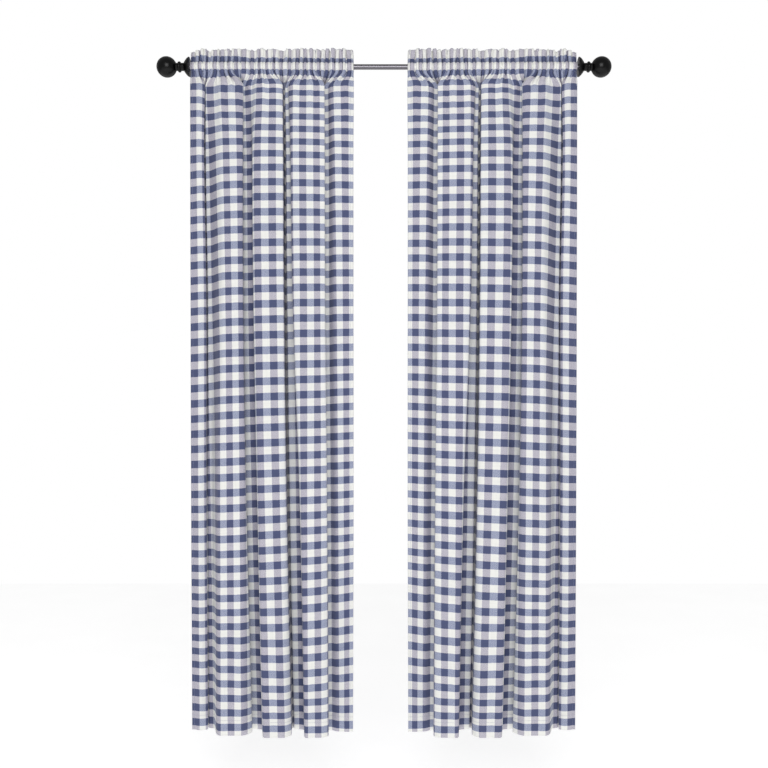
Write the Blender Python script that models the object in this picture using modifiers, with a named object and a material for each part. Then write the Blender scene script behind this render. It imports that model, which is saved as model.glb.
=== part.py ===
"""Pair of rod pocket curtains gathered on a curtain rod with ball finials.

Metres, +Z up. The room side faces -Y and the wall side +Y. The origin is the middle of the rod's axis.
Sizes below are in millimetres and are turned to metres where a shape is made.
"""
import math
from collections import namedtuple

import bmesh
import bpy

MM = 0.001

# Cloth: a check of equal dark and light bands, one repeat being one dark and one light band
REPEAT = 47.4
WALL = 0.9
HEADER_WALL = 1.2

# Heights above the rod's axis
HEADER_TOP = 53.0
HEADER_MIDDLE = 33.0
UPPER_STITCH = 15.0
POCKET_HIGH = 6.0
POCKET_LOW = -4.0
LOWER_STITCH = -14.0
FOLDS_FORMED = -76.0
HEM = -2070.0
BODY_LEVELS = (-44, -76, -130, -205, -310, -450, -620, -820, -1040, -1270, -1500, -1730, -1920)

# Where the panels hang: outer edge of each from the middle, and how much wider the right one spreads
LEFT_OUTER_X = -601.0
RIGHT_OUTER_X = 599.0
RIGHT_SPREAD = 1.0375
HUNG_WIDTH = 507.0

# Gathers of the header and the rod pocket: fine columns for each column of the body, and their swing
FINE_PER_COLUMN = 2
COLUMNS_PER_GATHER = 4
GATHER_SWING = 5.0
POCKET_HALF_DEPTH = 13.4

# Rod and finials
ROD_RADIUS = 8.0
ROD_SIDES = 24
ROD_HALF_LENGTH = 620.5
FIT = 0.3
COLLAR_FACE_X = 603.0
SOCKET_DEPTH = 18.0
BALL_RADIUS = 31.5
BALL_CENTRE_X = 674.5
NECK_RADIUS = 12.0
RING_RADIUS = 16.5
RING_X = 635.0
COLLAR_RADIUS = 30.0
COLLAR_LENGTH = 18.5
COLLAR_CHAMFER = 1.2
FINIAL_STEPS = 28
BALL_STEPS = 9
COLLAR_STEPS = 5

# The heights at which the folds are measured, and the plane of their crowns at each (minus is towards the room)
STATIONS = (-76.0, -258.0, -724.0, -1345.0, -2070.0)
CROWN_PLANE = (-12.0, -18.0, -26.0, -34.0, -42.0)

# Each fold runs from its foot, deep in the valley, over the valley's floor, up a slope, over a crown, to a lip that
# hides the next valley. Cloth positions are in repeats from the outer edge, lips in mm from the outer edge, and
# depths in mm behind the plane of the crowns. Where the slope ends is a share of the fold's width, where it starts
# is a share of that, and the drop is how far the lip rolls back. A column with five values has one a station.
Fold = namedtuple("Fold", "name foot_at lip_at lip_x crown_depth foot_depth slope_end slope_start drop")
FOLDS = (
    Fold("outer strip", 0.0, 1.0, (44, 42, 48, 48, 50),
         (3, 8, 20, 34, 60), (6, 14, 28, 44, 70), 0.40, 0.45, 10),
    Fold("first fold", (3.15, 2.75, 2.6, 2.25, 2.1), (5.65, 5.55, 5.45, 5.6, 5.75), (164, 164, 166, 175, 192),
         (0, 0, 0, 0, 4), (24, 40, 54, 66, 80), (0.43, 0.43, 0.42, 0.34, 0.28), (0.3, 0.3, 0.35, 0.4, 0.45),
         (10, 10, 12, 20, 36)),
    Fold("second fold", (8.2, 7.85, 7.85, 7.7, 7.75), (11.2, 11.2, 11.15, 11.0, 10.9), (287, 289, 292, 300, 315),
         (2, 0, 0, 0, 0), (30, 46, 58, 68, 80), (0.36, 0.3, 0.3, 0.33, 0.33), (0.4, 0.7, 0.85, 0.85, 0.85),
         (10, 10, 12, 16, 28)),
    Fold("third fold", (13.25, 13.1, 13.15, 13.6, 13.9), 16.95, (416, 417, 419, 425, 430),
         (6, 4, 3, 3, 2), (34, 44, 56, 74, 86), (0.16, 0.17, 0.2, 0.32, 0.34), (0.5, 0.7, 0.85, 0.85, 0.85),
         (10, 10, 12, 14, 22)),
    Fold("inner strip", (19.9, 19.7, 19.7, 19.8, 19.8), 21.85, (507, 506, 506, 506, 504),
         (4, 12, 24, 40, 66), (34, 44, 54, 64, 82), 0.35, 0.45, 3),
)

# How a fold turns: the gap between a lip and the next foot, the rounding before the lip and how much of a deeper
# drop adds to it, and the loop tucked behind the lip
FOOT_GAP = 5.0
SHOULDER = 9.0
SHALLOW_DROP = 10.0
SHOULDER_PER_DROP = 0.6
TUCK = 6.0
LOOP_ROUND = 3.5
LOOP_BOTTOM = 4.0
LOOP_SHARE = (0.72, 0.95, 1.0, 0.95, 0.84)


def along(z, values):
    """Value at height z of a quantity that is given at the stations, on a smooth curve, or is the same all over."""
    if not isinstance(values, tuple):
        return values
    if z >= STATIONS[0]:
        return values[0]
    if z <= STATIONS[-1]:
        return values[-1]
    last = len(STATIONS) - 2
    i = min(last, next(k for k in range(last + 1) if z >= STATIONS[k + 1]))
    slopes = []
    for k in (i, i + 1):
        low, high = max(k - 1, 0), min(k + 1, last + 1)
        slopes.append((values[high] - values[low]) / (STATIONS[high] - STATIONS[low]))
    span = STATIONS[i + 1] - STATIONS[i]
    t = (z - STATIONS[i]) / span
    rise = t * t * (3 - 2 * t)
    start = t * (1 - t) ** 2 * span * slopes[0]
    end = t * t * (t - 1) * span * slopes[1]
    return values[i] + rise * (values[i + 1] - values[i]) + start + end


def ease(t):
    """Smooth step from 0 to 1."""
    t = min(1.0, max(0.0, t))
    return t * t * (3 - 2 * t)


def front_run(foot, lip_x, crown_depth, slope_end, slope_start, drop):
    """Knots of a fold's front, from its foot to its lip: valley floor, slope, crown and shoulder."""
    foot_x, foot_depth = foot
    slope_width = slope_end * (lip_x - foot_x)
    shoulder_x = lip_x - SHOULDER - SHOULDER_PER_DROP * max(0.0, drop - SHALLOW_DROP)
    return [
        (foot_x, foot_depth),
        (foot_x + slope_start * slope_width, foot_depth - 0.12 * (foot_depth - crown_depth)),
        (foot_x + slope_width, crown_depth + 3.0),
        (0.5 * (foot_x + slope_width + shoulder_x), crown_depth),
        (shoulder_x, crown_depth + 2.0),
        (lip_x, crown_depth + drop),
    ]


def hidden_run(lip, foot, length, share):
    """Knots of the loop of cloth tucked behind a lip, deep enough to take up its length."""
    lip_x, lip_depth = lip
    foot_x, foot_depth = foot
    deepest = 0.5 * (length * share + lip_depth + foot_depth - LOOP_BOTTOM)
    deepest = max(deepest, foot_depth + LOOP_ROUND, lip_depth + LOOP_ROUND)
    return [
        (lip_x - TUCK, 0.5 * (lip_depth + deepest)),
        (lip_x - 0.5 * TUCK, deepest - LOOP_ROUND),
        (foot_x - 0.5 * TUCK, deepest - LOOP_ROUND),
        (foot_x - 1.0, 0.5 * (foot_depth + deepest)),
    ]


def section_knots(z):
    """The hung cloth's section at height z: knots (x, y) in mm from the outer to the inner edge."""
    knots = []
    plane = along(z, CROWN_PLANE)
    previous = None
    for fold in FOLDS:
        foot = (0.0, along(z, fold.foot_depth))
        if previous is not None:
            foot = (knots[-1][0] + FOOT_GAP, foot[1])
            length = (along(z, fold.foot_at) - along(z, previous.lip_at)) * REPEAT
            knots += hidden_run(knots[-1], foot, length, along(z, LOOP_SHARE))
        knots += front_run(foot, along(z, fold.lip_x), along(z, fold.crown_depth), along(z, fold.slope_end),
                           along(z, fold.slope_start), along(z, fold.drop))
        previous = fold
    return [(x, plane + depth) for x, depth in knots]


def curve_point(knots, q):
    """Point at parameter q, where whole numbers are knots, on a smooth curve through the knots."""
    last = len(knots) - 1
    i = min(int(q), last - 1)
    t = q - i
    before, start, end, after = (knots[max(0, min(last, k))] for k in (i - 1, i, i + 1, i + 2))
    point = []
    for a, b, c, d in zip(before, start, end, after):
        point.append(0.5 * (2 * b + (c - a) * t + (2 * a - 5 * b + 4 * c - d) * t * t
                            + (3 * b - a - 3 * c + d) * t ** 3))
    return point


def cloth_path(z, per_knot):
    """Middle line of the cloth at height z, with per_knot points for each knot of the section."""
    knots = section_knots(min(z, FOLDS_FORMED))
    formed = ease((LOWER_STITCH - z) / (LOWER_STITCH - FOLDS_FORMED))
    swing = GATHER_SWING * (1.0 - formed)
    intervals = len(knots) - 1
    path = []
    for step in range(intervals * per_knot + 1):
        q = step / per_knot
        x, y = curve_point(knots, q)
        phase = 2 * math.pi * q * FINE_PER_COLUMN / COLUMNS_PER_GATHER
        uneven = 0.8 + 0.2 * math.sin(0.37 * phase + 1.0)
        gather_x = HUNG_WIDTH * q / intervals
        gather_y = swing * uneven * math.sin(phase)
        path.append((gather_x + (x - gather_x) * formed, gather_y + y * formed))
    return path


def front_normals(path):
    """Unit normals of a section, pointing to the room."""
    normals = []
    for i in range(len(path)):
        (ax, ay), (bx, by) = path[max(i - 1, 0)], path[min(i + 1, len(path) - 1)]
        length = math.hypot(bx - ax, by - ay)
        normals.append(((by - ay) / length, -(bx - ax) / length))
    return normals


def header_top(share):
    """Height of the header's top edge along the cloth: uneven, and lower at the soft outer end."""
    ripple = 1.3 * math.sin(31 * share) + 1.0 * math.sin(73 * share + 2.0)
    return HEADER_TOP + ripple - 9.0 * (1.0 - ease(share / 0.07))


def make_panel(name, outer_x, spread, material, collection):
    """One panel: a closed sheet on its folds, with a double header and a tunnel round the rod."""
    mesh = bpy.data.meshes.new(name)
    bm = bmesh.new()

    def row(z, wall, bulge=0.0, fine=True):
        """Vertices of one level: front and back of the cloth, and both walls of the pocket's tunnel."""
        path = cloth_path(z, FINE_PER_COLUMN if fine else 1)
        normals = front_normals(path)
        sides = {"front": [], "back": [], "tunnel front": [], "tunnel back": []}
        for i, ((x, y), (nx, ny)) in enumerate(zip(path, normals)):
            height = header_top(i / (len(path) - 1)) if z == HEADER_TOP else z
            places = (("front", 1, wall), ("back", -1, wall), ("tunnel front", 1, 0.0), ("tunnel back", -1, 0.0))
            for side, sign, offset in places:
                if side.startswith("tunnel") and (z > UPPER_STITCH or z < LOWER_STITCH):
                    continue
                if side == "tunnel back" and bulge == 0.0:
                    sides[side].append(sides["tunnel front"][-1])
                    continue
                px = x + sign * offset * nx
                py = y + sign * (offset * ny - bulge)
                sides[side].append(bm.verts.new(((outer_x + spread * px) * MM, py * MM, height * MM)))
        return sides

    def strip(lower, upper, outward):
        """Triangles between two rows of vertices, cut the same way on every layer of the cloth."""
        ratio = (len(upper) - 1) // (len(lower) - 1)
        for j in range(len(lower) - 1):
            left, right = lower[j], lower[j + 1]
            above = upper[j * ratio:(j + 1) * ratio + 1]
            middle = above[(ratio + 1) // 2]
            faces = [(left, right, middle), (left, middle, above[0])]
            if ratio == FINE_PER_COLUMN:
                faces.append((right, above[-1], middle))
            for face in faces:
                bm.faces.new(face if outward else face[::-1])

    facing = spread > 0
    rows = [row(z, WALL, fine=False) for z in (HEM,) + BODY_LEVELS[::-1]]
    pocket = ((LOWER_STITCH, 0.0), (POCKET_LOW, POCKET_HALF_DEPTH), (POCKET_HIGH, POCKET_HALF_DEPTH),
              (UPPER_STITCH, 0.0))
    first_stitch = len(rows)
    rows += [row(z, HEADER_WALL, bulge) for z, bulge in pocket]
    last_stitch = len(rows) - 1
    rows += [row(z, HEADER_WALL) for z in (HEADER_MIDDLE, HEADER_TOP)]
    for r in range(len(rows) - 1):
        low, high = rows[r], rows[r + 1]
        strip(low["front"], high["front"], facing)
        strip(low["back"], high["back"], not facing)
        in_pocket = first_stitch <= r < last_stitch
        if in_pocket:
            strip(low["tunnel front"], high["tunnel front"], not facing)
            strip(low["tunnel back"], high["tunnel back"], facing)
        for end, turned in ((0, facing), (-1, not facing)):
            front = [low["front"][end], high["front"][end]]
            back = [high["back"][end], low["back"][end]]
            if in_pocket:
                walls = [front + [high["tunnel front"][end], low["tunnel front"][end]],
                         [low["tunnel back"][end], high["tunnel back"][end]] + back]
            elif r == first_stitch - 1:
                walls = [front + [high["tunnel front"][end]] + back]
            elif r == last_stitch:
                walls = [front + back + [low["tunnel front"][end]]]
            else:
                walls = [front + back]
            for wall in walls:
                bm.faces.new(wall if turned else wall[::-1])
    strip(rows[-1]["front"], rows[-1]["back"], facing)
    strip(rows[0]["front"], rows[0]["back"], not facing)
    bmesh.ops.triangulate(bm, faces=bm.faces)
    bm.to_mesh(mesh)
    bm.free()
    mesh.shade_smooth()
    mesh.set_sharp_from_angle(angle=math.radians(50))
    mesh.materials.append(material)
    panel = bpy.data.objects.new(name, mesh)
    collection.objects.link(panel)
    return panel


def make_rod(material, collection):
    """The curtain rod, a plain round bar along X."""
    bpy.ops.mesh.primitive_cylinder_add(vertices=ROD_SIDES, radius=ROD_RADIUS * MM,
                                        depth=2 * ROD_HALF_LENGTH * MM, rotation=(0, math.pi / 2, 0))
    rod = bpy.context.object
    rod.name = "rod"
    rod.data.materials.append(material)
    rod.data.shade_smooth()
    rod.data.set_sharp_from_angle(angle=math.radians(50))
    for other in rod.users_collection:
        other.objects.unlink(rod)
    collection.objects.link(rod)
    return rod


def finial_profile():
    """Half outline of a finial, (radius, distance from the rod's middle), from the ball's tip to the socket."""
    meet = math.pi - math.asin(NECK_RADIUS / BALL_RADIUS)
    outline = []
    for step in range(BALL_STEPS + 1):
        angle = meet * step / BALL_STEPS
        outline.append((BALL_RADIUS * math.sin(angle), BALL_CENTRE_X + BALL_RADIUS * math.cos(angle)))
    outline += [(NECK_RADIUS, RING_X + 4.5), (RING_RADIUS - 1.2, RING_X + 3.0), (RING_RADIUS, RING_X),
                (RING_RADIUS - 1.2, RING_X - 3.0), (NECK_RADIUS, RING_X - 4.5)]
    for step in range(COLLAR_STEPS + 1):
        t = 1.0 - step / COLLAR_STEPS
        outline.append((NECK_RADIUS + (COLLAR_RADIUS - NECK_RADIUS) * (1.0 - t ** 1.6),
                        COLLAR_FACE_X + COLLAR_CHAMFER + (COLLAR_LENGTH - COLLAR_CHAMFER) * t))
    socket_radius = ROD_RADIUS + FIT
    outline += [(COLLAR_RADIUS - COLLAR_CHAMFER, COLLAR_FACE_X), (socket_radius, COLLAR_FACE_X),
                (socket_radius, COLLAR_FACE_X + SOCKET_DEPTH), (0.0, COLLAR_FACE_X + SOCKET_DEPTH)]
    return outline


def make_finial(name, side, material, collection):
    """A ball finial turned round the rod's axis, with a socket that takes the rod's end."""
    mesh = bpy.data.meshes.new(name)
    points = [(radius * MM, 0.0, distance * MM) for radius, distance in finial_profile()]
    mesh.from_pydata(points, [(i, i + 1) for i in range(len(points) - 1)], [])
    finial = bpy.data.objects.new(name, mesh)
    collection.objects.link(finial)
    finial.rotation_euler = (0.0, side * math.pi / 2, 0.0)
    turn = finial.modifiers.new("turned", "SCREW")
    turn.axis = "Z"
    turn.steps = FINIAL_STEPS
    turn.render_steps = FINIAL_STEPS
    turn.use_merge_vertices = True
    turn.merge_threshold = 0.0001
    mesh.materials.append(material)
    return finial


def make_material(name, colour, roughness, metallic):
    """A Principled BSDF with a plain colour (linear), roughness and metallic value."""
    material = bpy.data.materials.new(name)
    material.use_nodes = True
    shader = material.node_tree.nodes["Principled BSDF"]
    shader.inputs["Base Color"].default_value = (*colour, 1.0)
    shader.inputs["Roughness"].default_value = roughness
    shader.inputs["Metallic"].default_value = metallic
    return material


def main():
    """Clear the scene and build the two panels, the rod and its finials."""
    for old in list(bpy.data.objects):
        bpy.data.objects.remove(old)
    collection = bpy.data.collections.new("Rod pocket curtains")
    bpy.context.scene.collection.children.link(collection)
    check_cloth = make_material("Woven check cotton", (0.42, 0.46, 0.60), 0.9, 0.0)
    black_lacquer = make_material("Black lacquer", (0.010, 0.011, 0.012), 0.3, 0.0)
    dark_metal = make_material("Dark nickel", (0.22, 0.21, 0.22), 0.32, 1.0)
    make_panel("panel_left", LEFT_OUTER_X, 1.0, check_cloth, collection)
    make_panel("panel_right", RIGHT_OUTER_X, -RIGHT_SPREAD, check_cloth, collection)
    make_rod(dark_metal, collection)
    make_finial("finial_left", -1, black_lacquer, collection)
    make_finial("finial_right", 1, black_lacquer, collection)


main()
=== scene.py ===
"""Looks of a pair of rod pocket curtains gathered on a curtain rod with ball finials.

Metres, +Z up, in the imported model's frame: the room side faces -Y, the wall side +Y, and the origin is the
middle of the rod's axis. Sizes are in millimetres, and are turned to metres where a mesh is made.
"""
from __future__ import annotations

import bisect
import logging
import math
import random
from dataclasses import dataclass
from enum import Enum
from operator import itemgetter
from typing import Any, Sequence

import bmesh
import bpy
from mathutils import Matrix, Vector

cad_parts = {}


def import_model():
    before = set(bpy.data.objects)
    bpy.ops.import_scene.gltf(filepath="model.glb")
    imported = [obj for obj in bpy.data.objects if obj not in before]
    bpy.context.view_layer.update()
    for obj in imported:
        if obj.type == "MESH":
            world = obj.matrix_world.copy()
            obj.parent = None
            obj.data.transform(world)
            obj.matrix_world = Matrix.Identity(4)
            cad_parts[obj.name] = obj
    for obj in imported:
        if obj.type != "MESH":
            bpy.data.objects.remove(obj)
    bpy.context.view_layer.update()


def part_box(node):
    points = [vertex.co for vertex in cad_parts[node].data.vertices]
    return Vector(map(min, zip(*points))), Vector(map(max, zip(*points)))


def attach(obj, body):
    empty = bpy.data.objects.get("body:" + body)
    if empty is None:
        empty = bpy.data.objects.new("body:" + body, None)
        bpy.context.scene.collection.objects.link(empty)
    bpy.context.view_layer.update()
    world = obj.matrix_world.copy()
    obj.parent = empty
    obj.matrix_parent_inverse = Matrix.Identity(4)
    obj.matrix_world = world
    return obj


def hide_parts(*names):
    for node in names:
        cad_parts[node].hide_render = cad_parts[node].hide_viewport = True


LOG = logging.getLogger("curtains")

MM = 0.001

# One dark and one light band of the check
REPEAT = 47.4

# Where each panel's outer edge hangs. The right panel is the left one's mirror image, a little wider
LEFT_EDGE = -601.0
RIGHT_EDGE = 599.0
RIGHT_SPREAD = -1.0375

Span = float | tuple[float, ...]


class Side(Enum):
    """The end of the rod that a panel or a finial is at."""

    LEFT = -1
    RIGHT = 1


class Face(Enum):
    """Which face of the hung cloth a row of it belongs to."""

    FRONT = "towards the room"
    FOLD = "the folded edge"
    BACK = "turned to the wall side"


def ease(t: float) -> float:
    """Return a smooth step from 0 to 1 as t goes from 0 to 1."""
    t = min(1.0, max(0.0, t))
    return t * t * (3.0 - 2.0 * t)


def spaced(start: float, end: float, step: float) -> list[float]:
    """List values from start up to but without end, evenly and about step apart.

    Args:
        start: First value.
        end: Value that the list stops short of.
        step: Wanted distance between two values.

    Returns:
        The values in order.
    """
    count = max(1, round(abs(end - start) / step))
    return [start + (end - start) * i / count for i in range(count)]


def smooth_value(places: Sequence[float], values: Sequence[float], place: float) -> float:
    """Read a smooth curve through values that are given at rising places.

    Args:
        places: Rising places at which the values are given.
        values: One value a place.
        place: Where the curve is read; past either end it runs on straight.

    Returns:
        The curve's value there.
    """
    last = len(places) - 1
    i = min(last - 1, max(0, bisect.bisect_right(places, place) - 1))
    slopes = []
    for k in (i, i + 1):
        low, high = max(k - 1, 0), min(k + 1, last)
        slopes.append((values[high] - values[low]) / (places[high] - places[low]))
    span = places[i + 1] - places[i]
    t = (place - places[i]) / span
    if t < 0.0:
        return values[i] + slopes[0] * span * t
    if t > 1.0:
        return values[i + 1] + slopes[1] * span * (t - 1.0)
    rise = t * t * (3.0 - 2.0 * t)
    bend = t * (1.0 - t) ** 2 * span * slopes[0] + t * t * (t - 1.0) * span * slopes[1]
    return values[i] + rise * (values[i + 1] - values[i]) + bend


def linear(colour: str) -> tuple[float, float, float, float]:
    """Turn an sRGB hex colour such as "#50557f" to linear RGBA."""
    channels = []
    for start in (1, 3, 5):
        value = int(colour[start:start + 2], 16) / 255.0
        channels.append(value / 12.92 if value <= 0.04045 else ((value + 0.055) / 1.055) ** 2.4)
    return channels[0], channels[1], channels[2], 1.0


def feed(tree: bpy.types.NodeTree, node: bpy.types.Node, inputs: dict[str | int, Any]) -> None:
    """Give a node's inputs their plain values and their links.

    Args:
        tree: The node's tree.
        node: The node.
        inputs: A value, or an output socket to link, for each input named or numbered.
    """
    for key, value in inputs.items():
        if isinstance(value, bpy.types.NodeSocket):
            tree.links.new(value, node.inputs[key])
        else:
            node.inputs[key].default_value = value


def add_node(tree: bpy.types.NodeTree, kind: str, settings: dict[str, Any] | None = None,
             inputs: dict[str | int, Any] | None = None) -> bpy.types.Node:
    """Add a node to a tree, with its settings, its plain input values and its links.

    Args:
        tree: Node tree that takes the node.
        kind: The node's type, such as "Math", without the word ShaderNode before it.
        settings: Values of the node's own properties.
        inputs: What its inputs are fed.

    Returns:
        The new node.
    """
    node = tree.nodes.new(f"ShaderNode{kind}")
    for name, value in (settings or {}).items():
        setattr(node, name, value)
    feed(tree, node, inputs or {})
    return node


def new_material(name: str) -> tuple[bpy.types.Material, bpy.types.NodeTree, bpy.types.Node]:
    """Start a node material.

    Args:
        name: The material's name.

    Returns:
        The material, its node tree and its Principled BSDF.
    """
    material = bpy.data.materials.new(name)
    material.use_nodes = True
    return material, material.node_tree, material.node_tree.nodes["Principled BSDF"]


def placed(name: str, data: bpy.types.ID) -> bpy.types.Object:
    """Make an object of a mesh, light or camera, and link it to the scene."""
    made = bpy.data.objects.new(name, data)
    bpy.context.scene.collection.objects.link(made)
    return made


def finished(name: str, bm: bmesh.types.BMesh, material: bpy.types.Material) -> bpy.types.Object:
    """Turn a bmesh to a smooth-shaded object that rides on the body.

    Args:
        name: The piece's name.
        bm: Its mesh, which is freed.
        material: Its finish.

    Returns:
        The new object, linked to the scene.
    """
    mesh = bpy.data.meshes.new(name)
    bm.to_mesh(mesh)
    bm.free()
    mesh.shade_smooth()
    mesh.materials.append(material)
    piece = placed(name, mesh)
    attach(piece, "root")
    return piece


@dataclass(frozen=True)
class CheckCotton:
    """Yarn-dyed plain-weave cotton in a navy and off-white check.

    Dull and slightly fuzzy to the eye: navy where dyed warp crosses dyed weft, a dusty blue and a paler
    grey lilac where dyed yarn crosses undyed, and off-white between. The thread spacing is really about 0.5
    mm. It is drawn three times as coarse, so that single threads show close up.
    """

    navy: str = "#4e5576"
    weft_blue: str = "#8c95b5"
    warp_lilac: str = "#bab5c2"
    off_white: str = "#eaeae6"
    thread_spacing: float = 1.5
    waver: float = 0.03
    yarn_contrast: float = 0.28
    roughness: float = 0.92
    sheen: float = 0.12
    specular: float = 0.25

    def material(self) -> bpy.types.Material:
        """Build the cloth's material on its own UV map, whose unit is one repeat of the check."""
        material, tree, shader = new_material("Yarn-dyed check cotton")
        threads = REPEAT / self.thread_spacing
        uv = add_node(tree, "UVMap", {"uv_map": "cloth"})
        waver = add_node(tree, "TexNoise", {"noise_dimensions": "2D"},
                         {"Vector": uv.outputs["UV"], "Scale": 5.0, "Detail": 3.0})
        shift = add_node(tree, "VectorMath", {"operation": "MULTIPLY_ADD"},
                         {0: waver.outputs["Color"], 1: (self.waver, self.waver, 0.0),
                          2: (-0.5 * self.waver, -0.5 * self.waver, 0.0)})
        place = add_node(tree, "VectorMath", {"operation": "ADD"},
                         {0: uv.outputs["UV"], 1: shift.outputs["Vector"]})
        across = add_node(tree, "SeparateXYZ", None, {0: place.outputs["Vector"]})
        bands = []
        for axis in ("X", "Y"):
            part = add_node(tree, "Math", {"operation": "FRACT"}, {0: across.outputs[axis]})
            bands.append(add_node(tree, "Math", {"operation": "LESS_THAN"},
                                  {0: part.outputs[0], 1: 0.5}).outputs[0])
        warp_dyed, weft_dyed = bands
        light_weft = add_node(tree, "Mix", {"data_type": "RGBA"},
                              {0: warp_dyed, 6: linear(self.off_white), 7: linear(self.warp_lilac)})
        dark_weft = add_node(tree, "Mix", {"data_type": "RGBA"},
                             {0: warp_dyed, 6: linear(self.weft_blue), 7: linear(self.navy)})
        check = add_node(tree, "Mix", {"data_type": "RGBA"},
                         {0: weft_dyed, 6: light_weft.outputs[2], 7: dark_weft.outputs[2]})

        # Which yarn lies on top at each crossing of the plain weave, and whether that yarn is dyed
        weft_on_top = add_node(tree, "TexChecker", None, {"Vector": uv.outputs["UV"], "Scale": threads})
        top_dyed = add_node(tree, "Mix", {"data_type": "FLOAT"},
                            {0: weft_on_top.outputs["Fac"], 2: warp_dyed, 3: weft_dyed})
        unlike = add_node(tree, "Math", {"operation": "COMPARE"}, {0: warp_dyed, 1: weft_dyed, 2: 0.5})
        mixed = add_node(tree, "Math", {"operation": "MULTIPLY_ADD"},
                         {0: unlike.outputs[0], 1: -self.yarn_contrast, 2: self.yarn_contrast})
        yarn = add_node(tree, "Mix", {"data_type": "RGBA"},
                        {0: top_dyed.outputs[0], 6: linear(self.off_white), 7: linear(self.navy)})
        woven = add_node(tree, "Mix", {"data_type": "RGBA"},
                         {0: mixed.outputs[0], 6: check.outputs[2], 7: yarn.outputs[2]})

        # Uneven dye and slubs: streaks a few threads wide along the weft and the warp
        tone = None
        for stretch, strength in (((0.8, threads / 3.0, 1.0), 0.10), ((threads / 3.0, 0.5, 1.0), 0.08)):
            along = add_node(tree, "VectorMath", {"operation": "MULTIPLY"},
                             {0: uv.outputs["UV"], 1: stretch})
            streak = add_node(tree, "TexNoise", {"noise_dimensions": "2D"},
                              {"Vector": along.outputs["Vector"], "Scale": 1.0, "Detail": 2.0})
            swing = add_node(tree, "Math", {"operation": "MULTIPLY_ADD"},
                             {0: streak.outputs["Fac"], 1: strength, 2: 1.0 - 0.5 * strength})
            if tone is None:
                tone = swing
            else:
                tone = add_node(tree, "Math", {"operation": "MULTIPLY"},
                                {0: tone.outputs[0], 1: swing.outputs[0]})
        toned = add_node(tree, "VectorMath", {"operation": "SCALE"},
                         {0: woven.outputs[2], "Scale": tone.outputs[0]})

        # Each yarn is round: height across the one on top
        crests = []
        for axis in ("X", "Y"):
            turn = add_node(tree, "Math", {"operation": "MULTIPLY"},
                            {0: add_node(tree, "SeparateXYZ", None,
                                         {0: uv.outputs["UV"]}).outputs[axis], 1: math.pi * threads})
            wave = add_node(tree, "Math", {"operation": "SINE"}, {0: turn.outputs[0]})
            crests.append(add_node(tree, "Math", {"operation": "ABSOLUTE"}, {0: wave.outputs[0]}))
        relief = add_node(tree, "Mix", {"data_type": "FLOAT"},
                          {0: weft_on_top.outputs["Fac"], 2: crests[0].outputs[0], 3: crests[1].outputs[0]})
        bump = add_node(tree, "Bump", None,
                        {"Strength": 0.35, "Distance": 0.0003, "Height": relief.outputs[0]})
        feed(tree, shader, {"Base Color": toned.outputs["Vector"], "Normal": bump.outputs["Normal"],
                            "Roughness": self.roughness, "Sheen Weight": self.sheen,
                            "Specular IOR Level": self.specular})
        return material


@dataclass(frozen=True)
class SewingThread:
    """Spun polyester sewing thread, dusty blue and softly glossy: two plies in a fine spiral, with painted
    shade between.
    """

    colour: str = "#9ba1b9"
    # Colour of the painted shade in the grooves between the plies
    shade: str = "#7f86a1"
    twist_pitch: float = 1.2
    roughness: float = 0.6

    def material(self) -> bpy.types.Material:
        """Build the thread's material: painted shade in the grooves between the plies, as slanting dark
        lines.
        """
        material, tree, shader = new_material("Spun sewing thread")
        where = add_node(tree, "TexCoord")
        # Painted shade: dark slanting bands stand for the shadow in the grooves between the two plies
        ply_groove_shade = add_node(tree, "TexWave", {"bands_direction": "DIAGONAL"},
                         {"Vector": where.outputs["Object"], "Scale": 0.05 / (self.twist_pitch * MM)})
        tone = add_node(tree, "Mix", {"data_type": "RGBA"},
                        {0: ply_groove_shade.outputs["Fac"], 6: linear(self.shade), 7: linear(self.colour)})
        feed(tree, shader, {"Base Color": tone.outputs[2], "Roughness": self.roughness})
        return material


@dataclass(frozen=True)
class PolishedNickel:
    """Steel tube with dark polished nickel: a clear band of light, fine draw lines and faint smears."""

    light: str = "#7b797e"
    dark: str = "#615f65"
    line_spacing: float = 0.8
    line_stretch: float = 120.0
    roughness: float = 0.28
    smear: float = 0.12

    def material(self) -> bpy.types.Material:
        """Build the rod's material; the lines run along X and are drawn coarser than the real ones."""
        material, tree, shader = new_material("Dark polished nickel")
        where = add_node(tree, "TexCoord")
        across = 1.0 / (self.line_spacing * MM)
        stretched = add_node(tree, "Mapping", None,
                             {"Vector": where.outputs["Object"],
                              "Scale": (across / self.line_stretch, across, across)})
        lines = add_node(tree, "TexNoise", None,
                         {"Vector": stretched.outputs["Vector"], "Scale": 1.0, "Detail": 2.0})
        smears = add_node(tree, "TexNoise", None,
                          {"Vector": where.outputs["Object"], "Scale": 18.0, "Detail": 3.0})
        tone = add_node(tree, "Mix", {"data_type": "RGBA"},
                        {0: lines.outputs["Fac"], 6: linear(self.dark), 7: linear(self.light)})
        gloss = add_node(tree, "Math", {"operation": "MULTIPLY_ADD"},
                         {0: smears.outputs["Fac"], 1: self.smear, 2: self.roughness - 0.5 * self.smear})
        bump = add_node(tree, "Bump", None,
                        {"Strength": 0.12, "Distance": 0.0001, "Height": lines.outputs["Fac"]})
        feed(tree, shader, {"Base Color": tone.outputs[2], "Roughness": gloss.outputs[0],
                            "Normal": bump.outputs["Normal"], "Metallic": 1.0})
        return material


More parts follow.
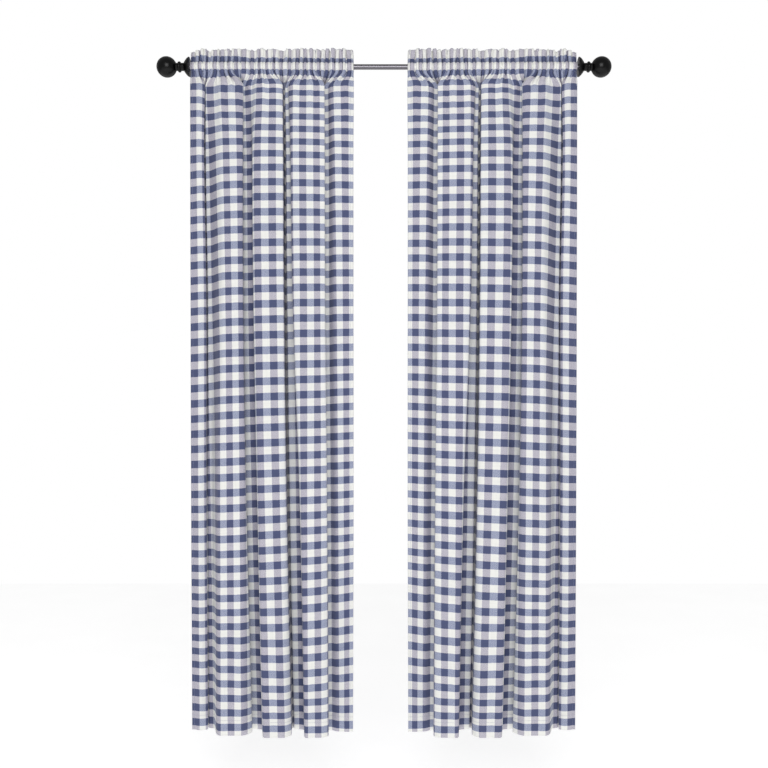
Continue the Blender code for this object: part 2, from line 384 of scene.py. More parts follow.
@dataclass(frozen=True)
class BlackLacquer:
    """Moulded resin with sprayed black satin lacquer: a soft highlight, orange peel and a little dust."""

    colour: str = "#020202"
    worn: str = "#060607"
    peel_size: float = 1.6
    roughness: float = 0.26
    dulling: float = 0.16
    specular: float = 0.22

    def material(self) -> bpy.types.Material:
        """Build the finials' material."""
        material, tree, shader = new_material("Black satin lacquer")
        where = add_node(tree, "TexCoord")
        peel = add_node(tree, "TexNoise", None,
                        {"Vector": where.outputs["Object"], "Scale": 1.0 / (self.peel_size * MM),
                         "Detail": 1.0})
        wear = add_node(tree, "TexNoise", None,
                        {"Vector": where.outputs["Object"], "Scale": 30.0, "Detail": 4.0})
        tone = add_node(tree, "Mix", {"data_type": "RGBA"},
                        {0: wear.outputs["Fac"], 6: linear(self.colour), 7: linear(self.worn)})
        gloss = add_node(tree, "Math", {"operation": "MULTIPLY_ADD"},
                         {0: wear.outputs["Fac"], 1: self.dulling, 2: self.roughness - 0.5 * self.dulling})
        bump = add_node(tree, "Bump", None,
                        {"Strength": 0.08, "Distance": 0.0002, "Height": peel.outputs["Fac"]})
        feed(tree, shader, {"Base Color": tone.outputs[2], "Roughness": gloss.outputs[0],
                            "Normal": bump.outputs["Normal"], "Specular IOR Level": self.specular})
        return material


@dataclass(frozen=True)
class Fold:
    """One fold of the hung cloth, from its foot in the valley to the lip that hides the next valley.

    Cloth positions are in repeats from the outer edge, lips in mm from the outer edge and depths in mm
    behind the plane of the crowns. Where the slope out of the valley ends is a share of the fold's width,
    where it starts is a share of that, and the drop is how far the lip rolls back. A field with five values
    has one for each station, from the hem up.
    """

    foot_at: Span
    lip_at: Span
    lip_x: Span
    crown_depth: Span
    foot_depth: Span
    slope_end: Span
    slope_start: Span
    drop: Span


@dataclass(frozen=True)
class Drape:
    """The section that the cloth hangs in at each height, laid on the folds of the panel's solid.

    A fold's foot lies its gap past the lip before it, or behind that lip where the gap is below 0. On the
    solid every gap is 5 mm, and here three creases close tighter, as in the photo. The cloth that a crease
    hides runs back in a loop, which turns in behind the lip by the fold's tuck.
    """

    stations: tuple[float, ...] = (-2070.0, -1345.0, -724.0, -258.0, -76.0)
    crown_plane: tuple[float, ...] = (-42.0, -34.0, -26.0, -18.0, -12.0)
    folds: tuple[Fold, ...] = (
        Fold(0.0, 1.2, (50, 48, 48, 42, 44), (60, 34, 20, 8, 3), (70, 44, 28, 14, 6), 0.4, 0.45, 10),
        Fold((2.1, 2.25, 2.6, 2.7, 2.9), (6.0, 5.6, 5.45, 5.5, 5.6), (192, 175, 166, 164, 164),
             (4, 0, 0, 0, 0), (80, 66, 54, 40, 24), (0.28, 0.34, 0.42, 0.43, 0.43),
             (0.45, 0.4, 0.35, 0.3, 0.3),
             (36, 20, 12, 10, 10)),
        Fold((7.6, 7.6, 7.65, 7.7, 7.75), (11.05, 11.05, 11.1, 11.1, 11.1), (315, 300, 292, 289, 287),
             (0, 0, 0, 0, 2), (80, 68, 58, 46, 30), (0.33, 0.33, 0.3, 0.3, 0.36),
             (0.85, 0.85, 0.85, 0.7, 0.4),
             (28, 16, 12, 10, 10)),
        Fold((13.6, 13.5, 13.45, 13.45, 13.5), (17.2, 17.05, 16.95, 16.95, 16.95), (430, 425, 419, 417, 416),
             (2, 3, 3, 4, 6), (86, 74, 56, 44, 34), (0.34, 0.32, 0.2, 0.17, 0.16),
             (0.85, 0.85, 0.85, 0.7, 0.5),
             (22, 14, 12, 10, 10)),
        Fold((19.6, 19.6, 19.6, 19.6, 19.65), 21.85, (504, 506, 506, 506, 507),
             (66, 40, 24, 12, 4), (82, 64, 54, 44, 34), 0.35, 0.45, 3),
    )
    foot_gaps: tuple[float, ...] = (0.0, 1.5, -5.0, 5.0, -4.0)
    tucks: tuple[float, ...] = (0.0, 6.0, 14.0, 5.0, 13.0)
    shoulder: float = 9.0
    shallow_drop: float = 10.0
    shoulder_per_drop: float = 0.6
    shoulder_fall: float = 2.0
    valley_rise: float = 0.12
    crown_start: float = 3.0
    slack: float = 1.2
    loop_corner: float = 3.0
    loop_neck: float = 1.0
    loop_round: float = 3.5
    loop_bottom: float = 4.0
    loop_share: tuple[float, ...] = (0.84, 0.95, 1.0, 0.95, 0.72)
    slope_share: tuple[float, ...] = (0.45, 0.45, 0.45, 0.75, 1.0)

    def down(self, z: float, values: Span) -> float:
        """Read a quantity at height z, whether it is given at the stations or is the same all over."""
        if not isinstance(values, tuple):
            return values
        return smooth_value(self.stations, values, min(self.stations[-1], max(self.stations[0], z)))

    def front(self, fold: Fold, foot: tuple[float, float], z: float) -> list[tuple[float, float]]:
        """Lay the knots of a fold's front: foot, valley floor, slope, crown, shoulder and lip.

        Args:
            fold: The fold.
            foot: Its foot (x, depth).
            z: Height in mm.

        Returns:
            Knots (x, depth).
        """
        lip_x, crown, drop = self.down(z, fold.lip_x), self.down(z, fold.crown_depth), self.down(z, fold.drop)
        slope_width = self.down(z, fold.slope_end) * (lip_x - foot[0])
        shoulder_x = lip_x - self.shoulder - self.shoulder_per_drop * max(0.0, drop - self.shallow_drop)
        return [foot,
                (foot[0] + self.down(z, fold.slope_start) * slope_width,
                 foot[1] - self.valley_rise * (foot[1] - crown)),
                (foot[0] + slope_width, crown + self.crown_start),
                (0.5 * (foot[0] + slope_width + shoulder_x), crown),
                (shoulder_x, crown + self.shoulder_fall),
                (lip_x, crown + drop)]

    def knots(self, z: float) -> list[tuple[float, float, float]]:
        """Lay the section's knots at height z.

        Args:
            z: Height in mm.

        Returns:
            Knots (cloth position, x, y) from the outer to the inner edge.
        """
        plane, share = self.down(z, self.crown_plane), self.down(z, self.loop_share)
        shares = (self.slack, self.down(z, self.slope_share), self.slack, self.slack, 1.0)
        laid: list[tuple[float, float, float]] = []
        for fold, gap, tuck in zip(self.folds, self.foot_gaps, self.tucks):
            foot_at, lip_at = self.down(z, fold.foot_at), self.down(z, fold.lip_at)
            foot = (0.0, self.down(z, fold.foot_depth))
            if laid:
                before_at, before_x, before_depth = laid[-1]
                foot = (before_x + gap, foot[1])
                length = (foot_at - before_at) * REPEAT
                deepest = max(0.5 * (length * share + before_depth + foot[1] - self.loop_bottom),
                              foot[1] + self.loop_round, before_depth + self.loop_round)
                loop = [laid[-1][1:],
                        (before_x - tuck, 0.5 * (before_depth + deepest)),
                        (before_x - tuck + self.loop_corner, deepest - self.loop_round),
                        (foot[0] - self.loop_corner, deepest - self.loop_round),
                        (foot[0] - self.loop_neck, 0.5 * (foot[1] + deepest)),
                        foot]
                laid += self.positions(loop, (1.0,) * 5, before_at, foot_at)[1:-1]
            laid += self.positions(self.front(fold, foot, z), shares, foot_at, lip_at)
        return [(at, x, plane + depth) for at, x, depth in laid]

    @staticmethod
    def positions(points: Sequence[tuple[float, float]], shares: Sequence[float], first: float,
                  last: float) -> list[tuple[float, float, float]]:
        """Give each point of a run its cloth position, spread by the distance between the points.

        Args:
            points: Points (x, depth) of the run.
            shares: For each stretch between two points, how much cloth it takes for its length.
            first: Cloth position of the first point.
            last: Cloth position of the last point.

        Returns:
            Points (cloth position, x, depth).
        """
        reach = [0.0]
        for (ax, ay), (bx, by), share in zip(points, points[1:], shares):
            reach.append(reach[-1] + share * math.hypot(bx - ax, by - ay))
        return [(first + (last - first) * r / reach[-1], x, y) for r, (x, y) in zip(reach, points)]

    @staticmethod
    def read(knots: Sequence[tuple[float, float, float]], at: float) -> tuple[float, float]:
        """Read the smooth curve through a section's knots at one cloth position.

        Args:
            knots: Knots (cloth position, x, y).
            at: Cloth position in repeats.

        Returns:
            The point (x, y) in mm.
        """
        last = len(knots) - 1
        i = min(last - 1, max(0, bisect.bisect_right(knots, at, key=itemgetter(0)) - 1))
        t = (at - knots[i][0]) / (knots[i + 1][0] - knots[i][0])
        around = [knots[max(0, min(last, k))] for k in (i - 1, i, i + 1, i + 2)]
        point = []
        for axis in (1, 2):
            a, b, c, d = (knot[axis] for knot in around)
            point.append(0.5 * (2 * b + (c - a) * t + (2 * a - 5 * b + 4 * c - d) * t * t
                                + (3 * b - a - 3 * c + d) * t ** 3))
        return point[0], point[1]


@dataclass(frozen=True)
class Gathers:
    """The puckers of the header and the rod pocket, which fade into the folds under the lower stitches.

    Swings are in mm, and the three shares of a swing hold in the pocket, at the header's foot and just
    under the pocket. The header's swing grows by its flare towards the top. Roundness, slot and crumple are
    shares of the swing: they shape each pucker's section. At the outer edge the puckers are shallower.
    """

    count: int = 39
    swing: float = 7.4
    roundness: float = 0.07
    slot: float = 0.34
    crumple: float = 0.34
    crumple_lean: float = 2.5
    fine_turns: float = 3.3
    fine_lean: float = 1.7
    fine_rise: float = 0.06
    pocket_swing: float = 4.9
    pocket_share: float = 0.9
    header_share: float = 0.95
    header_flare: float = 0.38
    under_share: float = 1.15
    edge_share: float = 0.45
    edge_reach: float = 0.06
    strengths: tuple[float, float] = (0.5, 1.3)
    furthest_shift: float = 0.36
    furthest_lean: float = 2.4
    fades: tuple[float, float] = (34.0, 90.0)
    seed: int = 11

    def draws(self) -> list[tuple[float, float, float, float]]:
        """Draw each pucker's own strength, shift, fade length and lean, the same at every run."""
        rng = random.Random(self.seed)
        return [(rng.uniform(*self.strengths), rng.uniform(-self.furthest_shift, self.furthest_shift),
                 rng.uniform(*self.fades), rng.uniform(-self.furthest_lean, self.furthest_lean))
                for _ in range(self.count + 2)]


@dataclass(frozen=True)
class Wrinkles:
    """Soft wrinkles that the gathers leave under the pocket, and a slight unevenness over the whole drop.

    Lengths are in mm, counted down from the lower stitches. Rates are in waves a repeat of the check.
    """

    rise_over: float = 40.0
    fade_from: float = 60.0
    fade_over: float = 190.0
    broad: float = 1.9
    broad_rate: float = 0.93
    broad_drift: float = 0.8
    narrow: float = 1.2
    narrow_rate: float = 1.61
    uneven: float = 0.7
    uneven_rate: float = 0.61
    uneven_over: float = 120.0

    def depth(self, at: float, z: float, below: float) -> float:
        """Depth of the wrinkles at a place of the cloth.

        Args:
            at: Cloth position in repeats.
            z: Height in mm.
            below: How far under the lower stitches that is.

        Returns:
            The depth in mm.
        """
        turn = 2.0 * math.pi * at
        soft = self.broad * math.sin(turn * self.broad_rate + self.broad_drift * math.sin(at * 1.7) + 0.4)
        soft += self.narrow * math.sin(turn * self.narrow_rate + 1.9)
        uneven = self.uneven * math.sin(turn * self.uneven_rate + z * 0.0041)
        uneven *= math.sin(z * 0.0083 + at * 0.9)
        under_pocket = ease(below / self.rise_over) * (1.0 - ease((below - self.fade_from) / self.fade_over))
        return soft * under_pocket + uneven * ease(below / self.uneven_over)


@dataclass(frozen=True)
class CheckRows:
    """How high the dark weft bands of the check lie, read at a few cloth positions across the panel.

    Rows are counted down from the first whole one under the pocket, and a dark band's middle is a quarter
    past its number. The cloth sags more in the valleys, so a band is not level.
    """

    across: tuple[float, ...] = (0.0, 4.5, 10.5, 16.0, 21.85)
    rows: tuple[tuple[int, tuple[float, ...]], ...] = (
        (43, (-2041, -2039, -2043, -2046, -2051)),
        (40, (-1903, -1907, -1923, -1918, -1900)),
        (37, (-1776, -1774, -1782, -1776, -1750)),
        (34, (-1648, -1644, -1637, -1623, -1597)),
        (30, (-1468, -1462, -1448, -1436, -1417)),
        (21, (-1047, -1034, -1024, -1018, -1008)),
        (12, (-618, -605, -596, -594, -594)),
        (6, (-338, -325, -316, -320, -324)),
        (3, (-191, -194, -192, -197, -202)),
        (0, (-62, -72, -75, -83, -87)),
    )
    hem_heights: tuple[float, ...] = (-2066.0, -2065.0, -2071.0, -2071.0, -2073.0)
    sag_starts: float = -1700.0
    step_at: float = 7.0
    outer_edges: tuple[tuple[float, float, float], ...] = (
        (-0.5, -33.0, -31.0), (-1.0, -10.0, -11.0), (-1.5, 13.0, 11.0), (-2.0, 35.0, 30.0),
        (-2.5, 57.0, 54.0))
    inner_edges: tuple[tuple[float, float, float], ...] = (
        (-0.5, -54.0, -62.0), (-1.0, -37.0, -42.5), (-1.5, -22.0, -33.0), (-2.0, -10.0, -13.0),
        (-2.5, 11.0, 8.0), (-3.0, 28.0, 24.0), (-3.5, 52.0, 52.0))

    def sag(self, at: float, z: float, hem: float) -> float:
        """How far a point of the level z is moved up, so that the hem follows the weft.

        Args:
            at: Cloth position in repeats.
            z: Height of the level in mm.
            hem: Height of the hem's level.

        Returns:
            The move in mm.
        """
        if z >= self.sag_starts:
            return 0.0
        share = ease((self.sag_starts - z) / (self.sag_starts - hem))
        return share * (smooth_value(self.across, self.hem_heights, at) - hem)

    def ladder(self, at: float, inner: bool, last_at: float) -> tuple[list[float], list[float]]:
        """List the heights and check rows at one cloth position.

        Args:
            at: Cloth position in repeats.
            inner: Whether the inner part's heading rows hold, past the deep valley that hides the step.
            last_at: Cloth position of the inner edge.

        Returns:
            Rising heights, and the row number at each.
        """
        heights = [smooth_value(self.across, values, at) for _, values in self.rows]
        numbers = [row + 0.25 for row, _ in self.rows]
        start, end = (self.step_at, last_at) if inner else (0.0, self.step_at)
        share = min(1.0, max(0.0, (at - start) / (end - start)))
        for row, near, far in self.inner_edges if inner else self.outer_edges:
            heights.append(near + (far - near) * share)
            numbers.append(row)
        return heights, numbers


@dataclass(frozen=True)
class Column:
    """One column of the cloth's grid: its place in the check, where it lies, and its layers deep."""

    check: float
    at: float
    depth: float


@dataclass(frozen=True)
class Level:
    """One row of the cloth's grid: its height, its face, and the cloth between it and the fold before it."""

    height: float
    face: Face
    travel: float = 0.0


@dataclass
class CurtainPanel:
    """A curtain panel: one length of cloth, hemmed, and turned and sewn to a header and a rod pocket."""

    side: Side
    outer_x: float
    spread: float
    cloth: bpy.types.Material
    thread: bpy.types.Material
    drape: Drape = Drape()
    gathers: Gathers = Gathers()
    wrinkles: Wrinkles = Wrinkles()
    check_rows: CheckRows = CheckRows()
    cloth_repeats: float = 21.85
    hung_width: float = 507.0
    header_top: float = 53.0
    top_ripples: tuple[tuple[float, float, float], ...] = (
        (1.3, 31.0, 0.0), (1.0, 73.0, 2.0), (0.9, 187.0, 1.0))
    corner_drop: float = 9.0
    corner_reach: float = 0.07
    upper_stitch: float = 15.0
    lower_stitch: float = -14.0
    folds_formed: float = -76.0
    folds_settled: float = -57.0
    hem: float = -2070.0
    pocket_depth: float = 13.7
    cloth_thickness: float = 0.45
    layer_step: float = 0.8
    layers_back: float = 3.0
    side_hem: float = 12.0
    bottom_hem: float = 50.0
    stitch_length: float = 3.0
    stitch_pitch: float = 4.0
    stitch_radius: float = 0.28
    hem_seam_in: float = 3.0
    side_seam_in: float = 2.0
    side_seam_rise: float = 6.0

    def __post_init__(self) -> None:
        """Draw the puckers once, and name the piece."""
        self.draws = self.gathers.draws()
        self.name = f"panel_{self.side.name.lower()}"

    def columns(self) -> list[Column]:
        """List the grid's columns: the outer side hem, the cloth's width, and the inner side hem.

        Returns:
            Columns in order across the cloth.
        """
        hem = self.side_hem / REPEAT
        last = self.cloth_repeats
        across = self.gathers.count * 8
        turned = [hem * share for share in (1.0, 0.5, 0.08)]
        laid = [Column(-at, at, 1.0) for at in turned]
        laid.append(Column(0.0, 0.0, 0.5))
        laid += [Column(last * i / across, last * i / across, 0.0) for i in range(1, across)]
        laid.append(Column(last, last, 0.5))
        laid += [Column(last + at, last - at, 1.0) for at in reversed(turned)]
        return laid

    def levels(self) -> list[Level]:
        """List the grid's rows: up the turned hem's back, up the front, over the header and down its back.

        Rows lie closer together where the cloth bends more.

        Returns:
            Levels in order along the cloth.
        """
        turn = 1.5
        body_top = self.folds_formed - 60.0
        back_of_hem = [Level(self.hem + rise, Face.BACK, rise)
                       for rise in (self.bottom_hem, 34.0, 17.0, turn)]
        heights = spaced(self.hem + turn, body_top, 20.0) + spaced(body_top, self.folds_formed, 9.0)
        heights += spaced(self.folds_formed, self.lower_stitch, 5.2)
        heights += spaced(self.lower_stitch, self.upper_stitch, 4.2)
        heights += spaced(self.upper_stitch, self.header_top - turn, 6.0) + [self.header_top - turn]
        down = spaced(self.header_top - turn, self.upper_stitch, 9.0)
        down += spaced(self.upper_stitch, self.lower_stitch, 4.8)
        down += [self.lower_stitch, self.lower_stitch - 4.0]
        laid = back_of_hem + [Level(self.hem, Face.FOLD)]
        laid += [Level(height, Face.FRONT) for height in heights]
        laid.append(Level(self.header_top, Face.FOLD))
        laid += [Level(height, Face.BACK, self.header_top - height) for height in down]
        return laid

    def top_of_header(self, share: float) -> float:
        """Height of the header's uneven top edge at a share of the cloth's width."""
        ripple = sum(height * math.sin(rate * share + start) for height, rate, start in self.top_ripples)
        return self.header_top + ripple - self.corner_drop * (1.0 - ease(share / self.corner_reach))

    def pucker(self, share: float, z: float) -> tuple[float, float]:
        """Swing of the puckers at a share of the cloth's width and a height.

        Args:
            share: Share of the cloth's width from its outer edge.
            z: Height in mm.

        Returns:
            How far the cloth is moved along the rod and across it, in mm.
        """
        gathers = self.gathers
        turns = share * gathers.count
        i = min(int(turns), gathers.count)
        mix = ease(turns - i)
        strength, shift, fade, lean = (a + (b - a) * mix for a, b in zip(self.draws[i], self.draws[i + 1]))
        above = max(0.0, z - self.upper_stitch) / (self.header_top - self.upper_stitch)
        phase = 2.0 * math.pi * (turns + shift) + lean * above
        swing = gathers.swing * strength
        if self.lower_stitch < z < self.upper_stitch:
            swing = min(swing, gathers.pocket_swing) * gathers.pocket_share
        elif z >= self.upper_stitch:
            swing *= gathers.header_share + gathers.header_flare * above
        else:
            swing *= gathers.under_share - gathers.under_share * ease((self.lower_stitch - z) / fade)
        swing *= gathers.edge_share + (1.0 - gathers.edge_share) * ease(share / gathers.edge_reach)
        along = gathers.slot * math.cos(phase) - gathers.roundness * math.sin(2.0 * phase)
        fine = gathers.fine_turns * phase + gathers.fine_lean * lean + gathers.fine_rise * z
        across = math.sin(phase) + gathers.crumple * math.sin(2.0 * phase + gathers.crumple_lean * lean)
        across += 0.5 * gathers.crumple * math.sin(fine)
        return swing * along, swing * across

    def row(self, level: Level, places: Sequence[tuple[float, float]]) -> list[Vector]:
        """Place points of the cloth at one level.

        Args:
            level: The level.
            places: For each point its cloth position in repeats, and how many layers behind the front it is.

        Returns:
            The points in metres, in the model's frame.
        """
        z = level.height
        knots = self.drape.knots(min(z, self.folds_formed))
        formed = ease((self.lower_stitch - z) / (self.lower_stitch - self.folds_settled))
        step = 0.02

        def middle(at: float) -> tuple[float, float]:
            """Place of the front layer at one cloth position."""
            share = at / self.cloth_repeats
            gather_x, gather_y = self.pucker(share, z)
            x, y = self.drape.read(knots, at)
            straight = self.hung_width * share + gather_x
            depth = y + self.wrinkles.depth(at, z, self.lower_stitch - z)
            return straight + (x - straight) * formed, gather_y + depth * formed

        points = []
        for at, depth in places:
            x, y = middle(at)
            (ax, ay), (bx, by) = middle(at - step), middle(at + step)
            length = math.hypot(bx - ax, by - ay)
            back_x, back_y = -(by - ay) / length * formed, (bx - ax) / length * formed + 1.0 - formed
            layers = {Face.FRONT: depth, Face.FOLD: 0.5 * self.layers_back,
                      Face.BACK: self.layers_back - depth}[level.face]
            offset = layers * self.layer_step
            bulge = 0.0
            if self.lower_stitch < z < self.upper_stitch:
                half = 0.5 * (self.upper_stitch - self.lower_stitch)
                bulge = self.pocket_depth * math.sqrt(1.0 - ((z - self.lower_stitch) / half - 1.0) ** 2)
                if level.face is Face.FRONT:
                    bulge = -bulge
            height = z
            if z > self.upper_stitch:
                top = self.top_of_header(at / self.cloth_repeats)
                share_up = (z - self.upper_stitch) / (self.header_top - self.upper_stitch)
                height = self.upper_stitch + share_up * (top - self.upper_stitch)
            height += self.check_rows.sag(at, z, self.hem)
            px = self.outer_x + self.spread * (x + back_x * offset)
            points.append(Vector((px, y + back_y * offset + bulge, height)) * MM)
        return points

    def check_row(self, level: Level, at: float, ladder: tuple[list[float], list[float]]) -> float:
        """Row number of the check at a level.

        Args:
            level: The level.
            at: Cloth position in repeats.
            ladder: Heights and row numbers at that cloth position.

        Returns:
            The row number, which grows down the front of the cloth.
        """
        z, past = level.height, 0.0
        if level.face is Face.BACK and z < self.folds_formed:
            z, past = self.hem, level.travel / REPEAT
        elif level.face is Face.BACK:
            z, past = self.header_top, -level.travel / REPEAT
        return smooth_value(ladder[0], ladder[1], z + self.check_rows.sag(at, z, self.hem)) + past

    def check_table(self, columns: Sequence[Column], levels: Sequence[Level],
                    inner: bool) -> list[list[float]]:
        """List the check's row number at each level of each column.

        Args:
            columns: The grid's columns.
            levels: The grid's levels.
            inner: Whether the inner part's heading rows hold.

        Returns:
            For each column, its row numbers level by level.
        """
        table = []
        for column in columns:
            ladder = self.check_rows.ladder(column.at, inner, self.cloth_repeats)
            table.append([self.check_row(level, column.at, ladder) for level in levels])
        return table

    def build_cloth(self) -> bpy.types.Object:
        """Make the panel's cloth as one sheet.

        Returns:
            The cloth's object.
        """
        columns, levels = self.columns(), self.levels()
        across, along = len(columns) - 1, len(levels) - 1
        bm = bmesh.new()
        bmesh.ops.create_grid(bm, x_segments=across, y_segments=along, size=0.5)
        rows = [self.row(level, [(column.at, column.depth) for column in columns]) for level in levels]
        checks = {inner: self.check_table(columns, levels, inner) for inner in (False, True)}
        index = {vert: (round((vert.co.x + 0.5) * across), round((vert.co.y + 0.5) * along))
                 for vert in bm.verts}
        uv_layer = bm.loops.layers.uv.new("cloth")
        for face in bm.faces:
            middle = sum(index[vert][0] for vert in face.verts) / len(face.verts)
            table = checks[columns[int(middle)].at > self.check_rows.step_at]
            for loop in face.loops:
                c, r = index[loop.vert]
                loop[uv_layer].uv = (columns[c].check, table[c][r])
        for vert, (c, r) in index.items():
            vert.co = rows[r][c]
        if self.spread < 0:
            bmesh.ops.reverse_faces(bm, faces=bm.faces)
        cloth = finished(f"{self.name}_cloth", bm, self.cloth)
        wall = cloth.modifiers.new("cloth thickness", "SOLIDIFY")
        wall.thickness = self.cloth_thickness * MM
        wall.offset = 0.0
        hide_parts(self.name)
        return cloth

    def sew(self, seams: bmesh.types.BMesh, run: Sequence[tuple[Vector, Vector, Vector]]) -> None:
        """Add a run of stitches.

        Args:
            seams: Mesh that takes the stitches.
            run: For each stitch, where the thread leaves the cloth, where it enters it, and its facing.
        """
        radius = self.stitch_radius * MM
        lift = (0.5 * self.cloth_thickness + 0.1) * MM
        for first in range(0, len(run), 40):
            batch = bmesh.new()
            for start, end, out in run[first:first + 40]:
                turn = (end - start).to_track_quat("Z", "X").to_matrix().to_4x4()
                place = Matrix.Translation(0.5 * (start + end) + out * lift)
                bmesh.ops.create_cone(batch, cap_ends=True, segments=5, radius1=radius, radius2=radius,
                                      depth=(end - start).length, matrix=place @ turn)
            part = bpy.data.meshes.new("stitches")
            batch.to_mesh(part)
            batch.free()
            seams.from_mesh(part)
            bpy.data.meshes.remove(part)

    @staticmethod
    def facing(along: Vector, toward: float) -> Vector:
        """Level direction square to a run of cloth, to the room where toward is -1, to the wall where 1."""
        out = Vector((along.y, -along.x, 0.0)).normalized()
        return out if out.y * toward >= 0.0 else -out

    def build_seams(self) -> bpy.types.Object:
        """Make the stitches of the header, the pocket and the hems as one mesh.

        Returns:
            The seams' object.
        """
        seams_mesh = bmesh.new()
        runs = []
        count = int(self.cloth_repeats * REPEAT / self.stitch_pitch)
        length = self.stitch_length / self.stitch_pitch
        pitch = self.cloth_repeats / count
        ends = [(pitch * (i + share), 0.0) for i in range(count) for share in (0.0, length)]
        for height, face in ((self.upper_stitch, Face.FRONT), (self.upper_stitch, Face.BACK),
                             (self.lower_stitch, Face.FRONT), (self.lower_stitch, Face.BACK),
                             (self.hem + self.bottom_hem - self.hem_seam_in, Face.FRONT)):
            points = self.row(Level(height, face), ends)
            toward = -1.0 if face is Face.FRONT else 1.0
            run = []
            for start, end in zip(points[0::2], points[1::2]):
                run.append((start, end, self.facing(end - start, toward)))
            runs.append(run)
        seam_in = (self.side_hem - self.side_seam_in) / REPEAT
        for at in (seam_in, self.cloth_repeats - seam_in):
            run = []
            for height in spaced(self.hem + self.side_seam_rise, self.folds_formed, self.stitch_pitch):
                start, near = self.row(Level(height, Face.FRONT), [(at, 0.0), (at + 0.02, 0.0)])
                end = self.row(Level(height + self.stitch_length, Face.FRONT), [(at, 0.0)])[0]
                run.append((start, end, self.facing(near - start, -1.0)))
            runs.append(run)
        for run in runs:
            self.sew(seams_mesh, run)
        seams = finished(f"{self.name}_seams", seams_mesh, self.thread)
        return seams

    def build(self, rests_on: bpy.types.Object) -> list[bpy.types.Object]:
        """Make the panel: its cloth and its seams.

        Args:
            rests_on: The rod that carries it; not used.

        Returns:
            The panel's pieces.
        """
        cloth, seams = self.build_cloth(), self.build_seams()
        return [cloth, seams]


@dataclass
class CurtainRod:
    """The plain round curtain rod, a thin-walled tube whose ends sit in the finials."""

    finish: bpy.types.Material
    wall: float = 0.8
    bore: float = 12.0
    sides: int = 72

    def build(self) -> bpy.types.Object:
        """Make the tube from the frame's rod.

        Returns:
            The rod's object.
        """
        low, high = (Vector(corner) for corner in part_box("rod"))
        radius = 0.5 * (high.z - low.z)
        bm = bmesh.new()
        along_x = Matrix.Rotation(0.5 * math.pi, 4, "Y")
        bmesh.ops.create_cone(bm, cap_ends=True, segments=self.sides, radius1=radius, radius2=radius,
                              depth=high.x - low.x, matrix=Matrix.Translation(0.5 * (low + high)) @ along_x)
        caps = [face for face in bm.faces if len(face.verts) > 4]
        bmesh.ops.inset_region(bm, faces=caps, thickness=self.wall * MM)
        caps = [face for face in bm.faces if len(face.verts) > 4]
        for cap in caps:
            deeper = bmesh.ops.extrude_discrete_faces(bm, faces=[cap])["faces"][0]
            inward = Vector((-math.copysign(self.bore * MM, deeper.calc_center_median().x), 0.0, 0.0))
            bmesh.ops.translate(bm, verts=deeper.verts, vec=inward)
        rod = finished("rod_tube", bm, self.finish)
        rod.data.set_sharp_from_angle(angle=math.radians(40))
        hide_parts("rod")
        return rod


@dataclass
class BallFinial:
    """A ball finial: ball, ringed neck, and a domed collar that takes the rod's end, in one piece."""

    side: Side
    finish: bpy.types.Material
    ball_radius: float = 31.5
    neck_radius: float = 12.0
    ring_radius: float = 16.5
    ring_half_width: float = 4.5
    ring_from_face: float = 32.0
    collar_radius: float = 30.0
    collar_length: float = 18.5
    collar_round: float = 1.2
    socket_radius: float = 8.3
    socket_depth: float = 18.0
    turns: int = 96

    def outline(self, length: float) -> list[tuple[float, float]]:
        """Half outline of the finial from the ball's tip to the socket's bottom.

        Args:
            length: Distance in mm from the collar's face to the ball's tip.

        Returns:
            Points (distance from the collar's face, radius).
        """
        centre = length - self.ball_radius
        meet = math.pi - math.asin(self.neck_radius / self.ball_radius)
        points = []
        for step in range(33):
            angle = meet * step / 32
            points.append((centre + self.ball_radius * math.cos(angle), self.ball_radius * math.sin(angle)))
        for step in range(9):
            angle = math.pi * step / 8
            bead = self.neck_radius + (self.ring_radius - self.neck_radius) * math.sin(angle) ** 0.7
            points.append((self.ring_from_face + self.ring_half_width * math.cos(angle), bead))
        for step in range(17):
            t = 1.0 - step / 16
            dome = self.neck_radius + (self.collar_radius - self.neck_radius) * (1.0 - t ** 1.6)
            points.append((self.collar_round + (self.collar_length - self.collar_round) * t, dome))
        for step in range(1, 7):
            angle = 0.5 * math.pi * step / 6
            points.append((self.collar_round * (1.0 - math.sin(angle)),
                           self.collar_radius - self.collar_round * (1.0 - math.cos(angle))))
        points += [(0.0, self.socket_radius), (self.socket_depth, self.socket_radius),
                   (self.socket_depth, 0.0)]
        return points

    def build(self) -> bpy.types.Object:
        """Turn the finial between the ends of the frame's one.

        Returns:
            The finial's object.
        """
        node = f"finial_{self.side.name.lower()}"
        low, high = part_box(node)
        face_x = (low if self.side is Side.RIGHT else high)[0]
        length = (high[0] - low[0]) / MM
        bm = bmesh.new()
        verts = [bm.verts.new((face_x + self.side.value * distance * MM, 0.0, radius * MM))
                 for distance, radius in self.outline(length)]
        edges = [bm.edges.new(pair) for pair in zip(verts, verts[1:])]
        bmesh.ops.spin(bm, geom=verts + edges, cent=(0, 0, 0), axis=(1, 0, 0), angle=2.0 * math.pi,
                       steps=self.turns, use_merge=True)
        bmesh.ops.remove_doubles(bm, verts=bm.verts, dist=0.00001)
        bmesh.ops.recalc_face_normals(bm, faces=bm.faces)
        finial = finished(f"{node}_turned", bm, self.finish)
        finial.data.set_sharp_from_angle(angle=math.radians(42))
        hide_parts(node)
        return finial


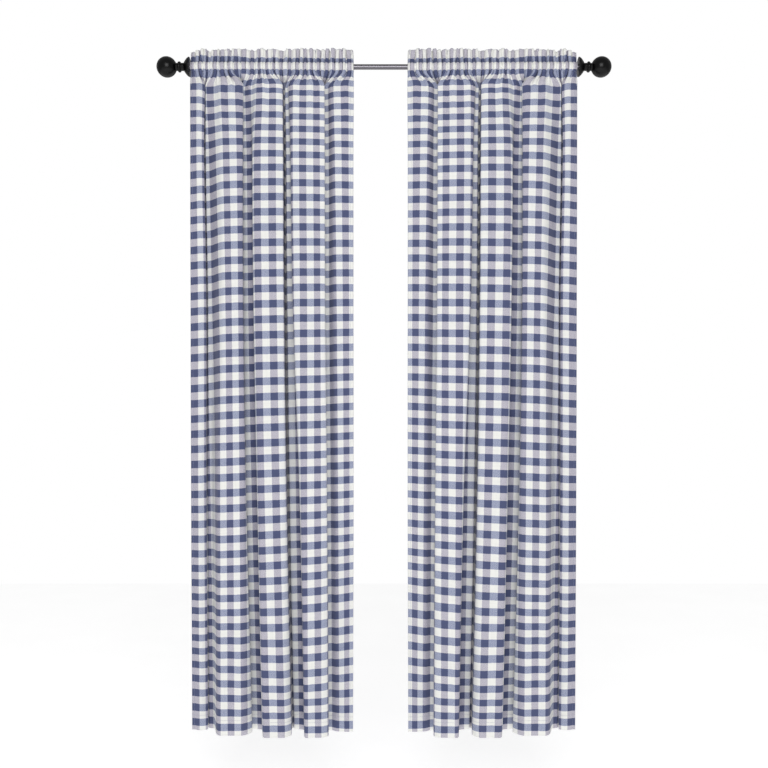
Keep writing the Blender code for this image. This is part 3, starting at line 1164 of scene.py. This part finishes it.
@dataclass
class Studio:
    """Plain pale floor, white surroundings, one soft light, and the camera at the cloth's middle."""

    floor_z: float = -2.32
    floor_size: float = 9.0
    camera_distance: float = 3.0
    eye_z: float = -1.1275
    lens: float = 45.28
    frame_lift: float = 0.0599
    surroundings: float = 0.42
    floor_glow: float = 0.56
    light_place: tuple[float, float, float] = (0.0, -3.5, 0.15)
    light_target: tuple[float, float, float] = (0.0, 0.0, -1.0)
    light_size: float = 2.0
    light_power: float = 63.0

    def build_floor(self) -> bpy.types.Object:
        """Lay the pale floor under the hems."""
        material, tree, shader = new_material("Pale matt paint")
        where = add_node(tree, "TexCoord")
        mottle = add_node(tree, "TexNoise", None, {"Vector": where.outputs["Object"], "Scale": 3.0})
        tone = add_node(tree, "Mix", {"data_type": "RGBA"},
                        {0: mottle.outputs["Fac"], 6: linear("#fafafa"), 7: linear("#fefefe")})
        feed(tree, shader, {"Base Color": tone.outputs[2], "Emission Color": tone.outputs[2],
                            "Emission Strength": self.floor_glow, "Roughness": 0.9})
        bm = bmesh.new()
        bmesh.ops.create_grid(bm, x_segments=1, y_segments=1, size=0.5 * self.floor_size)
        bmesh.ops.translate(bm, verts=bm.verts, vec=(0.0, 0.0, self.floor_z))
        mesh = bpy.data.meshes.new("floor")
        bm.to_mesh(mesh)
        bm.free()
        mesh.materials.append(material)
        floor = placed("floor", mesh)
        return floor

    def build_light(self) -> None:
        """Hang the square soft light in front of the cloth."""
        data = bpy.data.lights.new("front softbox", "AREA")
        data.size = self.light_size
        data.energy = self.light_power
        light = placed("front softbox", data)
        light.location = self.light_place
        aim = Vector(self.light_target) - Vector(self.light_place)
        light.rotation_euler = aim.to_track_quat("-Z", "Y").to_euler()

    def build_world(self) -> None:
        """Set white surroundings, which light the cloth less than they show."""
        world = bpy.data.worlds.new("white studio")
        bpy.context.scene.world = world
        world.use_nodes = True
        tree = world.node_tree
        ray = add_node(tree, "LightPath")
        strength = add_node(tree, "Mix", {"data_type": "FLOAT"},
                            {0: ray.outputs["Is Camera Ray"], 2: self.surroundings, 3: 1.0})
        background = tree.nodes["Background"]
        background.inputs["Color"].default_value = (1.0, 1.0, 1.0, 1.0)
        tree.links.new(strength.outputs[0], background.inputs["Strength"])
        bpy.context.scene.view_settings.view_transform = "Standard"

    def build_camera(self) -> None:
        """Set the camera square on to the cloth."""
        data = bpy.data.cameras.new("camera")
        data.lens = self.lens
        data.sensor_width = 36.0
        data.shift_y = self.frame_lift
        camera = placed("camera", data)
        camera.location = (0.0, -self.camera_distance, self.eye_z)
        camera.rotation_euler = (0.5 * math.pi, 0.0, 0.0)
        bpy.context.scene.camera = camera

    def build(self) -> bpy.types.Object:
        """Set up the studio.

        Returns:
            The floor.
        """
        self.build_light()
        self.build_world()
        self.build_camera()
        return self.build_floor()


def main() -> None:
    """Load the frame, build the curtains, the rod, the finials and the studio, and note the sizes."""
    logging.basicConfig(level=logging.INFO, format="%(name)s: %(message)s")
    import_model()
    cloth, thread = CheckCotton().material(), SewingThread().material()
    nickel, lacquer = PolishedNickel().material(), BlackLacquer().material()
    rod = CurtainRod(nickel).build()
    pieces = [rod]
    pieces += [BallFinial(side, lacquer).build() for side in Side]
    for panel in (CurtainPanel(Side.LEFT, LEFT_EDGE, 1.0, cloth, thread),
                  CurtainPanel(Side.RIGHT, RIGHT_EDGE, RIGHT_SPREAD, cloth, thread)):
        pieces += panel.build(rod)
    Studio().build()
    for piece in pieces:
        LOG.info("%s: %d vertices, %d faces", piece.name, len(piece.data.vertices), len(piece.data.polygons))


if __name__ == "__main__":
    main()
